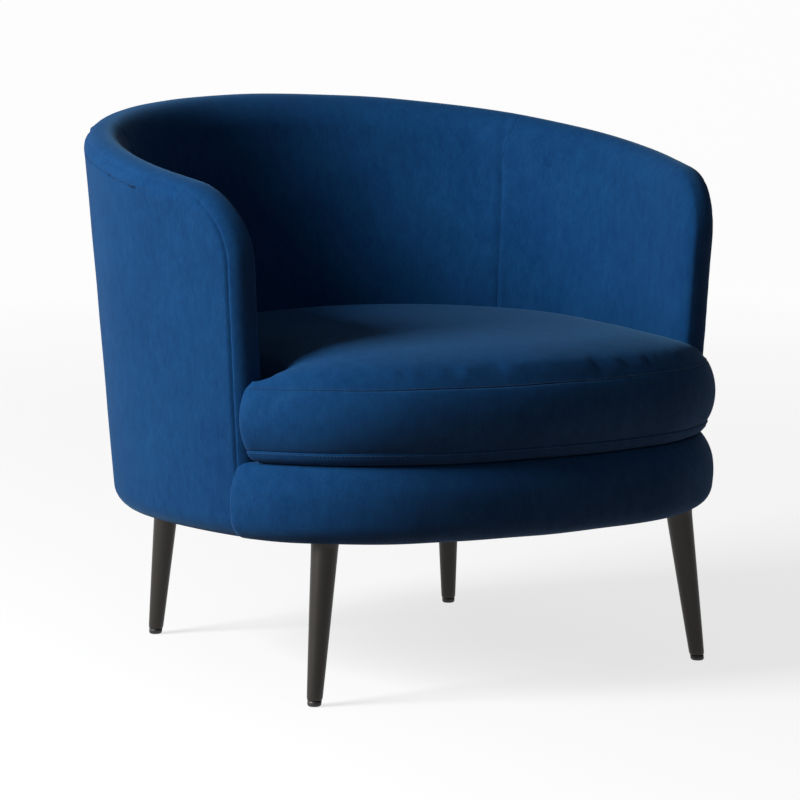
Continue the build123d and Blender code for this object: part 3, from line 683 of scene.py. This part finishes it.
def build_apron():
    """Padded front roll, round the seat front from arm to arm."""
    centre, normals = base_front(APRON_END_Y + 3.0, 4.0)
    profile = smooth_curve(APRON_PROFILE, 46)
    travelled = np.concatenate([[0], np.cumsum(np.linalg.norm(np.diff(centre, axis=0), axis=1))])
    to_end = np.minimum(travelled, travelled[-1] - travelled)
    full = APRON_END_BULGE + (1 - APRON_END_BULGE) * ease(to_end / 70.0)
    tuck = 1 - np.sqrt(np.maximum(0.0, 1 - (1 - np.minimum(to_end / APRON_END_ROUND, 1.0)) ** 2))
    rows = []
    drop = (1 - np.minimum(to_end / 38.0, 1.0)) ** 2
    for (x, y), (nx, ny), bulge, end, low in zip(centre, normals, full, tuck, drop):
        out = np.where(profile[:, 0] > 0, profile[:, 0] * bulge, profile[:, 0])
        out = out - APRON_END_ROUND * 1.1 * end * (out > -20)
        shown = ease(profile[:, 0] / 14.0)
        z = APRON_MIDDLE_Z + (profile[:, 1] - APRON_MIDDLE_Z) * (1 - 0.10 * end * shown)
        z = z - APRON_END_DROP * low * shown * ease((profile[:, 1] - APRON_MIDDLE_Z) / 50.0)
        rows.append(np.stack([x + nx * out, y + ny * out, z], -1))
    points = softened(np.array(rows), 0.8, 80.0, 11.0)
    piece = welded(mesh_piece("front_roll", points, grid_faces(*points.shape[:2]), VELVET))
    outward(piece, Vector((0, -150, 240)) * MM)
    as_cloth(piece)
    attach(piece, "chair")
    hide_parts("apron_cover", "apron_foam")
    return piece


# ---------------------------------------------------------------- loose seat cushion
CUSHION_OVERHANG = 18.0
CUSHION_SIDE_GAP = 4.0
WING_Y = ARM_FRONT_Y + 3.0
WING_PUSH = 1.0  # the wings' tips swell past the arms' corners
CUSHION_LOW = low_mm("cushion_bottom_cover")[2]
CUSHION_TOP = high_mm("cushion_top_cover")[2]
TOP_SEAM_Z = high_mm("cushion_boxing")[2]
BOTTOM_SEAM_Z = CUSHION_LOW + 17.0
CUSHION_MIDDLE = np.array([0.0, -50.0, 345.0])
LOOP_PITCH = 5.0
PROXY_STEP = 2  # the simulated copy has every second point of the outline
STITCH, STITCH_PITCH, THREAD_RADIUS = 3.4, 4.4, 0.42
PUFF_PRESSURE, PUFF_FRAMES = 4.0, 20
PUFF_CAP, PUFF_CAP_HELD = 24.0, 1.5  # most a point may move, in the open and beside an arm
PUFF_SHARE = 0.30  # the cushion's foam holds back the rest of the move
PUFF_EVENED = 30  # rounds of blending that take small wrinkles out of the move
CROWN_FULLNESS = 0.39  # lower is flatter on top and steeper at the seam
TOP_TURN = ((1.0, 1.5), (3.0, 4.4), (6.0, 8.4))  # from the top seam on: inward, up
BOTTOM_TURN = ((0.6, 3.0), (2.5, 8.0), (7.0, 12.5), (15.0, 15.6))  # from the bottom seam on: inward, down
WING_X = 338.0


def cushion_outline():
    """Closed plan outline of the cushion, evenly spaced, with rounded wing corners."""
    radius = WELL_RADIUS + flared(CUSHION_LOW) - CUSHION_SIDE_GAP
    side = WELL_SIDE_RADIUS + flared(CUSHION_LOW) - CUSHION_SIDE_GAP
    a = np.linspace(0, math.pi / 2, 60)
    back = np.stack([radius * np.sin(a), WELL_CENTRE_Y + radius * np.cos(a)], -1)
    forward = np.linspace(0, WELL_CENTRE_Y - WING_Y, 40)[1:]
    flank = np.stack([radius - side + np.sqrt(side**2 - forward**2), WELL_CENTRE_Y - forward], -1)
    grown = CORNER_RADIUS + CUSHION_OVERHANG
    start = math.asin((WING_Y - CORNER_AT[1]) / grown)
    meet = math.atan2(CORNER_AT[1] - FRONT_AT[1], CORNER_AT[0] - FRONT_AT[0])
    b = np.linspace(start, meet, 60)
    corner = CORNER_AT + grown * np.stack([np.cos(b), np.sin(b)], -1)
    c = np.linspace(meet, -math.pi / 2, 60)[1:]
    bow = FRONT_AT + (FRONT_RADIUS + CUSHION_OVERHANG) * np.stack([np.cos(c), np.sin(c)], -1)
    half = np.vstack([back, flank, corner, bow])
    loop = np.vstack([half, (half * [-1, 1])[-2:0:-1]])
    closed = np.vstack([loop, loop[:1]])
    length = np.concatenate([[0], np.cumsum(np.linalg.norm(np.diff(closed, axis=0), axis=1))])
    count = 2 * int(length[-1] / LOOP_PITCH / 2)
    t = np.linspace(0, length[-1], count, endpoint=False)
    loop = np.stack([np.interp(t, length, closed[:, k]) for k in (0, 1)], -1)
    for _ in range(9):
        loop = 0.5 * loop + 0.25 * (np.roll(loop, 1, 0) + np.roll(loop, -1, 0))
    along = np.roll(loop, -1, 0) - np.roll(loop, 1, 0)
    along /= np.linalg.norm(along, axis=1)[:, None]
    return loop, np.stack([-along[:, 1], along[:, 0]], -1)


def filled(loop, pitch):
    """Points and triangles that fill a closed loop; the loop's own points come first."""
    low, high = loop.min(0), loop.max(0)
    xs, ys = np.arange(low[0], high[0], pitch), np.arange(low[1], high[1], pitch * 0.866)
    grid = [(x + (pitch / 2 if k % 2 else 0), y) for k, y in enumerate(ys) for x in xs]
    inside = [g for g in grid if deep_inside(loop, g, pitch * 0.6)]
    points = [Vector(p) for p in loop.tolist() + inside]
    border = [(i, (i + 1) % len(loop)) for i in range(len(loop))]
    made = geometry.delaunay_2d_cdt(points, border, [list(range(len(loop)))], 1, 1e-5)
    return np.array([tuple(p) for p in made[0]]), [tuple(f) for f in made[2]]


def deep_inside(loop, point, margin):
    """True where a point is inside the loop and further than margin from it."""
    x, y = point
    x0, y0 = loop[:, 0], loop[:, 1]
    x1, y1 = np.roll(x0, -1), np.roll(y0, -1)
    if np.min((x0 - x) ** 2 + (y0 - y) ** 2) < margin**2:
        return False
    crosses = (y0 > y) != (y1 > y)
    with np.errstate(divide="ignore", invalid="ignore"):
        at = x0 + (y - y0) * (x1 - x0) / (y1 - y0)
    return bool(np.count_nonzero(crosses & (at > x)) % 2)


def blown(points, faces, fixed):
    """Height, 0 to 1, of a sheet held at its first points and blown up evenly."""
    edges = {tuple(sorted((f[i], f[i - 1]))) for f in faces for i in range(len(f))}
    i, j = np.array(sorted(edges)).T
    count = len(points)
    free = np.arange(count) >= fixed

    def pull(h):
        flow = h[i] - h[j]
        return (np.bincount(i, flow, count) - np.bincount(j, flow, count)) * free

    height = np.zeros(count)
    rest = free.astype(float)
    step, size = rest.copy(), float(rest @ rest)
    for _ in range(400):
        push = pull(step)
        amount = size / float(step @ push)
        height += amount * step
        rest -= amount * push
        new = float(rest @ rest)
        if new < 1e-10:
            break
        step, size = rest + step * new / size, new
    return height / height.max()


def inset_loop(loop, normals, distance):
    """A plan loop moved inward, eased where it would cross itself in a tight corner."""
    out = loop - normals * distance
    for _ in range(int(distance * 2)):
        out = 0.5 * out + 0.25 * (np.roll(out, 1, 0) + np.roll(out, -1, 0))
    return out


def cushion_layers(loop, normals, heights, cap_pitch, crown):
    """Points and faces of the cushion's band, top and bottom. All three are closed against each other."""
    count = len(loop)
    free = ease((WING_Y + 12 - loop[:, 1]) / 24.0)[:, None]  # 1 where nothing holds the cushion's side

    def ring(offset_free, offset_held, z):
        offset = offset_held + (offset_free - offset_held) * free
        return np.hstack([loop + normals * offset, np.full((count, 1), z)])

    tip = WING_PUSH * dip(np.hypot(abs(loop[:, 0]) - WING_X, loop[:, 1] - WING_Y), 32.0)[:, None]
    rows = []
    for t in heights:
        z = BOTTOM_SEAM_Z + (TOP_SEAM_Z - BOTTOM_SEAM_Z) * t
        belly = (1 - (2 * t - 1) ** 2) ** 0.85
        rows.append(ring(-3.5 + 1.0 * t + 10.5 * belly + tip, -4.0 + 1.5 * t + 1.0 * belly, z))
    band = np.array(rows)

    top = [band[-1]]
    for inward, rise in TOP_TURN:
        top.append(np.hstack([inset_loop(band[-1][:, :2], normals, inward), band[-1][:, 2:] + rise]))
    plan, top_faces = filled(top[-1][:, :2], cap_pitch)
    z = np.full(len(plan), top[-1][0, 2]) + crown * blown(plan, top_faces, count) ** CROWN_FULLNESS
    top = np.vstack(top[:-1] + [np.hstack([plan, z[:, None]])])
    top_faces = grid_faces(4, count, closed=True) + [tuple(i + 3 * count for i in f) for f in top_faces]

    low = [band[0]]
    for inward, fall in BOTTOM_TURN:
        drop = fall * (0.8 + 0.2 * free)
        low.append(np.hstack([inset_loop(band[0][:, :2], normals, inward), band[0][:, 2:] - drop]))
    plan, low_faces = filled(low[-1][:, :2], cap_pitch * 1.3)
    z = np.full(len(plan), CUSHION_LOW + 1.0)
    z[:count] = low[-1][:, 2]
    low = np.vstack(low[:-1] + [np.hstack([plan, z[:, None]])])
    low_faces = grid_faces(5, count, closed=True) + [tuple(i + 4 * count for i in f) for f in low_faces]
    band_faces = grid_faces(len(heights), count, closed=True)
    return (band.reshape(-1, 3), band_faces), (top, top_faces), (low, low_faces)


def puffed(layers):
    """Blows a copy of the cushion up as cloth, and returns its rest points, moves and triangles."""
    points = np.vstack([layer[0] for layer in layers])
    starts = np.cumsum([0] + [len(layer[0]) for layer in layers])
    faces = [tuple(i + start for i in f) for layer, start in zip(layers, starts) for f in layer[1]]
    proxy = welded(mesh_piece("cushion_in_simulation", points, faces, VELVET))
    outward(proxy, Vector(CUSHION_MIDDLE) * MM)
    held = proxy.vertex_groups.new(name="on_the_deck")
    flat = [v.index for v in proxy.data.vertices if v.co.z < (CUSHION_LOW + 2.5) * MM]
    held.add(flat, 1.0, "REPLACE")
    rest = np.array([v.co for v in proxy.data.vertices]) / MM
    cloth = proxy.modifiers.new("puff", "CLOTH")
    setting = cloth.settings
    setting.quality = 6
    setting.mass = 0.25
    setting.tension_stiffness = setting.compression_stiffness = 22.0
    setting.shear_stiffness = 9.0
    setting.bending_stiffness = 0.6
    setting.use_pressure = True
    setting.uniform_pressure_force = PUFF_PRESSURE
    setting.vertex_group_mass = "on_the_deck"
    setting.effector_weights.gravity = 0.0
    cloth.collision_settings.use_self_collision = False
    scene = bpy.context.scene
    cloth.point_cache.frame_start, cloth.point_cache.frame_end = 1, PUFF_FRAMES
    for number in range(1, PUFF_FRAMES + 1):
        scene.frame_set(number)
    graph = bpy.context.evaluated_depsgraph_get()
    blown_mesh = proxy.evaluated_get(graph).to_mesh()
    moved = np.array([v.co for v in blown_mesh.vertices]) / MM - rest
    blown_mesh.calc_loop_triangles()
    triangles = [tuple(t.vertices) for t in blown_mesh.loop_triangles]
    moved = evened(moved, triangles, PUFF_EVENED)
    proxy.modifiers.clear()
    scene.frame_set(1)
    bpy.data.objects.remove(proxy)
    length = np.linalg.norm(moved, axis=1)[:, None]
    moved *= np.minimum(1.0, PUFF_CAP / np.maximum(length, 1e-6))
    beside_arm = ease((rest[:, 1] - WING_Y + 12) / 24.0)[:, None]
    sideways = moved[:, :2]
    reach = np.linalg.norm(sideways, axis=1)[:, None]
    limit = PUFF_CAP + (PUFF_CAP_HELD - PUFF_CAP) * beside_arm
    moved[:, :2] = sideways * np.minimum(1.0, limit / np.maximum(reach, 1e-6))
    return rest, moved * PUFF_SHARE, triangles


def evened(values, triangles, passes):
    """Values at a mesh's points, each blended with its neighbours' mean, again and again."""
    pairs = np.array([(t[k], t[k - 1]) for t in triangles for k in range(3)])
    i, j = np.vstack([pairs, pairs[:, ::-1]]).T
    count = np.bincount(i, minlength=len(values))[:, None]
    for _ in range(passes):
        total = np.stack([np.bincount(i, values[j, k], len(values)) for k in range(3)], -1)
        values = 0.5 * values + 0.5 * total / np.maximum(count, 1)
    return values


def carried(points, simulated):
    """Points moved with the nearest place on the simulated copy."""
    rest, moved, triangles = simulated
    tree = BVHTree.FromPolygons((rest * MM).tolist(), triangles)
    out = points.copy()
    for k, point in enumerate(points):
        place, _, index, _ = tree.find_nearest(Vector(point * MM))
        a, b, c = triangles[index]
        corners = [Vector(rest[i] * MM) for i in (a, b, c)]
        carriers = [Vector(moved[i]) for i in (a, b, c)]
        out[k] += np.array(geometry.barycentric_transform(place, *corners, *carriers))
    return out


def seam_gathers(loop):
    """Small uneven gathers along a seam, strongest round the wings."""
    wing = dip(loop[:, 1] - WING_Y + 12, 45.0)
    walk = np.arange(len(loop)) * LOOP_PITCH / 11.0
    ripple = np.array([noise.noise(Vector((w, 1.7, 9.1))) for w in walk])
    return np.maximum(0.0, ripple + 0.12) * (0.5 + 1.3 * wing)


def stitched(name, line, outward_normals, body):
    """A row of short thread stitches along a closed seam line."""
    closed = np.vstack([line, line[:1]])
    length = np.concatenate([[0], np.cumsum(np.linalg.norm(np.diff(closed, axis=0), axis=1))])
    normal = np.vstack([outward_normals, outward_normals[:1]])
    points, faces = [], []
    for at in np.arange(0, length[-1] - STITCH, STITCH_PITCH):
        reach = (at, at + STITCH / 2, at + STITCH)
        ends = [np.array([np.interp(d, length, closed[:, k]) for k in range(3)]) for d in reach]
        out = np.array([np.interp(at, length, normal[:, k]) for k in range(3)])
        along = ends[2] - ends[0]
        along /= np.linalg.norm(along)
        across = np.cross(along, out)
        start = len(points)
        for spot, radius, lift in zip(ends, (0.22, THREAD_RADIUS, 0.22), (-0.1, 0.35, -0.1)):
            for turn in np.linspace(0, 2 * math.pi, 6, endpoint=False):
                up, aside = lift + radius * math.sin(turn), radius * math.cos(turn)
                points.append(spot + out * up + across * aside)
        faces += grid_faces(3, 6, start, closed=True)
        faces += [tuple(range(start, start + 6))[::-1], tuple(range(start + 12, start + 18))]
    piece = mesh_piece(name, points, faces, THREAD)
    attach(piece, body)
    return piece


def build_cushion():
    """Boxed seat cushion with wings in front of the arms: top, boxing, bottom and seams."""
    loop, normals = cushion_outline()
    heights = np.concatenate([[0, 0.02, 0.05, 0.09], np.linspace(0.14, 0.86, 13), [0.91, 0.95, 0.98, 1]])
    crown = CUSHION_TOP - TOP_SEAM_Z - 7.6
    layers = list(cushion_layers(loop, normals, heights, 9.0, crown))
    coarse = loop[::PROXY_STEP], normals[::PROXY_STEP]
    simulated = puffed(cushion_layers(*coarse, np.linspace(0, 1, 8), 15.0, crown))
    layers = [(carried(points, simulated), faces) for points, faces in layers]
    count = len(loop)
    gathers = seam_gathers(loop)
    band, top, low = (points for points, _ in layers)
    for row, t in enumerate(heights):
        pull = gathers * math.exp(-t * 7) + gathers * 0.6 * math.exp(-(1 - t) * 7)
        band[row * count : (row + 1) * count, :2] -= normals * pull[:, None]
    band[:], top[:], low[:] = (softened(points, 0.6, 95.0, 21.0) for points in (band, top, low))
    top[:count], low[:count] = band[-count:], band[:count]
    jobs = [
        ("cushion_top", ("cushion_top_cover",)),
        ("cushion_band", ("cushion_boxing", "cushion_zip_panel")),
        ("cushion_bottom", ("cushion_bottom_cover", "cushion_core", "cushion_wrap")),
    ]
    order = {"cushion_top": 1, "cushion_band": 0, "cushion_bottom": 2}
    for name, nodes in jobs:
        piece = welded(mesh_piece(name, *layers[order[name]], VELVET))
        outward(piece, Vector(CUSHION_MIDDLE) * MM)
        as_cloth(piece)
        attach(piece, "seat_cushion")
        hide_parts(*nodes)
    up = np.tile([0.0, 0.0, 1.0], (count, 1))
    side = np.hstack([normals, np.zeros((count, 1))])
    stitched("top_seam_stitches", top[count : 2 * count], side * 0.75 + up * 0.66, "seat_cushion")
    stitched("bottom_seam_stitches", low[count : 2 * count], side * 0.75 - up * 0.66, "seat_cushion")


# ---------------------------------------------------------------- legs
SPLAY_RISE = 190.0
LEG_TOP_Z = low_mm("base_ring")[2]
LEG_TOP_RADIUS, LEG_FOOT_RADIUS = 16.8, 9.1
GLIDE_HEIGHT = low_mm("leg_front_left")[2]
# Depth below the leg's top and extra radius there.
SHOULDER = ((16, 0.0), (10, 0.05), (6, 0.2), (4, 0.5), (2.5, 0.7), (0.4, 0.7))
GLIDE_PROFILE = [(5.6, 0.0), (6.9, 0.25), (7.9, 1.0), (8.5, 2.3), (8.6, 4.0)]  # radius, height
GLIDE_PROFILE += [(8.6, GLIDE_HEIGHT - 0.6), (8.1, GLIDE_HEIGHT - 0.1)]


def leg_axis(node_name):
    """Foot centre of a leg and the shift of its axis per mm of height."""
    side = 1 if "right" in node_name else -1
    foot = {"front": (280.0, -289.0), "rear": (227.5, 228.0)}[node_name.split("_")[1]]
    lean = {"front": (-22.2, 12.4), "rear": (-11.6, -16.4)}[node_name.split("_")[1]]
    return np.array([side * foot[0], foot[1]]), np.array([side * lean[0], lean[1]]) / SPLAY_RISE


def turned(name, foot, lean, profile, material, sides=64):
    """Closed turned piece about a leaning axis; profile is (radius, height) from bottom to top."""
    a = np.linspace(0, 2 * math.pi, sides, endpoint=False)
    rows = []
    for radius, z in profile:
        centre = foot + lean * z
        round_x, round_y = centre[0] + radius * np.cos(a), centre[1] + radius * np.sin(a)
        rows.append(np.stack([round_x, round_y, np.full(sides, z)], -1))
    points = np.array(rows).reshape(-1, 3)
    faces = grid_faces(len(profile), sides, closed=True)
    faces += [tuple(range(sides))[::-1], tuple(range(len(points) - sides, len(points)))]
    return welded(mesh_piece(name, points, faces, material))


def leg_radius(z):
    """Radius of a tapered leg at a height."""
    return LEG_FOOT_RADIUS + (LEG_TOP_RADIUS - LEG_FOOT_RADIUS) * (z / LEG_TOP_Z) ** 0.92


def build_legs():
    """Tapered metal legs with a small shoulder under the base, on rounded glides."""
    for end in ("front", "rear"):
        for side in ("left", "right"):
            node = f"leg_{end}_{side}"
            foot, lean = leg_axis(node)
            body = [(LEG_FOOT_RADIUS - 0.9, GLIDE_HEIGHT), (LEG_FOOT_RADIUS, GLIDE_HEIGHT + 0.8)]
            body += [(leg_radius(z), z) for z in spread(GLIDE_HEIGHT + 4, LEG_TOP_Z - 22, 14)]
            for back, extra in SHOULDER:
                z = LEG_TOP_Z - back
                body.append((leg_radius(z) + extra, z))
            leg = turned(f"tapered_{node}", foot, lean, body, BRONZE)
            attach(leg, "chair")
            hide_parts(node)
            glide = turned(f"foot_{node}", foot, lean, GLIDE_PROFILE, GLIDE)
            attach(glide, "chair")
            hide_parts(f"glide_{end}_{side}")


# ---------------------------------------------------------------- frame nodes that stay
def dress_frame():
    """Finishes for the hard parts inside the chair."""
    birch = (0.42, 0.29, 0.16), (0.62, 0.46, 0.29)
    timber = plain_grain("birch_timber", *birch, 22.0, 0.6, 0.2, stretch=(1, 1, 6))
    steel = plain_grain("spring_steel", (0.10, 0.10, 0.105), (0.22, 0.22, 0.225), 80.0, 0.35, 0.1, 0.9)
    zinc = plain_grain("zinc_plate", (0.38, 0.38, 0.36), (0.55, 0.55, 0.53), 60.0, 0.35, 0.1, 0.9)
    board = plain_grain("brown_hardboard", (0.16, 0.10, 0.055), (0.25, 0.17, 0.10), 90.0, 0.8)
    felt = plain_grain("grey_felt", (0.16, 0.16, 0.165), (0.27, 0.27, 0.275), 160.0, 0.95, 0.5)
    webbing = woven("black_webbing", (0.008, 0.008, 0.009), (0.035, 0.035, 0.037), 350.0)
    foam = plain_grain("cream_foam", (0.62, 0.55, 0.36), (0.76, 0.70, 0.50), 180.0, 0.95, 0.5)
    finishes = {
        "timber": timber, "spring_steel": steel, "zinc_steel": zinc, "board": board, "felt": felt,
        "webbing": webbing, "foam": foam, "wadding": felt, "black_plastic": GLIDE, "bronze_metal": BRONZE,
        "velvet": VELVET, "deck_cloth": DECK, "black_cloth": DUST,
        "zip_tape": ZIP_TAPE, "zip_metal": ZIP_METAL,
    }
    for part in frame["record"]["subparts"]:
        node = frame["nodes"][part["node"]]
        node.data.materials.clear()
        node.data.materials.append(finishes[part["material_slot"]])


# ---------------------------------------------------------------- room, light and camera
FLOOR_GLOW = 0.94  # the studio floor is washed with its own light, so shadows on it stay faint


def build_room():
    """Pale floor that runs up behind into a plain backdrop."""
    half, depth, rise, bend = 9000.0, 7000.0, 6000.0, 2500.0
    path = [(-depth, 0.0), (depth - bend, 0.0)]
    for a in np.linspace(0.1, math.pi / 2, 12):
        path.append((depth - bend + bend * math.sin(a), bend - bend * math.cos(a)))
    path.append((depth, rise))
    points = np.array([[(x, y, z) for x in (-half, half)] for y, z in path])
    f = Finish("pale_floor")
    cloud = f.grain(0.6, 2.0)
    reach = f.stretched((0.2, 0.2, 0.2))
    # painted light: the floor glows with its own light, weaker round the chair and stronger far off, so the
    # far floor reads evenly bright and the chair's shadow stays darker near it
    near = f.node("ShaderNodeTexGradient", {"gradient_type": "SPHERICAL"}, {"Vector": reach}, 1)
    paint = f.surface(
        Base_Color=f.between(cloud, (0.215, 0.215, 0.216), (0.225, 0.225, 0.225)),
        Roughness=0.9,
        Specular_IOR_Level=0.0,
        Emission_Color=f.between(near, (1.0, 1.0, 1.0), (0.79, 0.79, 0.79)),
        Emission_Strength=FLOOR_GLOW,
    )
    floor = mesh_piece("pale_floor", points, grid_faces(len(path), 2), paint)
    floor.location.z = -0.0004
    floor.visible_diffuse = False


def area_light(name, place, target, size, power, colour=(1, 1, 1)):
    """Soft square light aimed at a point, in metres and watts."""
    lamp = bpy.data.lights.new(name, "AREA")
    lamp.shape, lamp.size, lamp.energy, lamp.color = "SQUARE", size, power, colour
    holder = bpy.data.objects.new(name, lamp)
    holder.location = place
    holder.rotation_euler = (Vector(target) - Vector(place)).to_track_quat("-Z", "Y").to_euler()
    bpy.context.collection.objects.link(holder)


def build_light():
    """Soft key from the side, high up, with a weak fill from the front and a faint sky."""
    world = bpy.data.worlds.new("soft_studio")
    world.use_nodes = True
    world.node_tree.nodes["Background"].inputs["Color"].default_value = (1, 1, 1, 1)
    world.node_tree.nodes["Background"].inputs["Strength"].default_value = 0.075
    bpy.context.scene.world = world
    area_light("key", (-3.12, 0.25, 2.05), (0, 0, 0.4), 1.5, 210)
    area_light("fill", (0.2, -3.4, 2.4), (0, 0, 0.3), 1.8, 5)
    bpy.context.scene.view_settings.view_transform = "Standard"


def build_camera():
    """Long lens, low three-quarter view of the chair's left front."""
    camera = bpy.data.objects.new("camera", bpy.data.cameras.new("camera"))
    bpy.context.collection.objects.link(camera)
    camera.location = (-2.3559, -3.9483, 0.8753)
    target = Vector((0, -0.0209, 0.3221))
    camera.rotation_euler = (target - camera.location).to_track_quat("-Z", "Y").to_euler()
    camera.data.sensor_width = 36.0
    camera.data.lens = 161.7
    bpy.context.scene.camera = camera


build_camera()
build_light()
build_room()
dress_frame()
build_shell()
build_apron()
build_cushion()
build_legs()
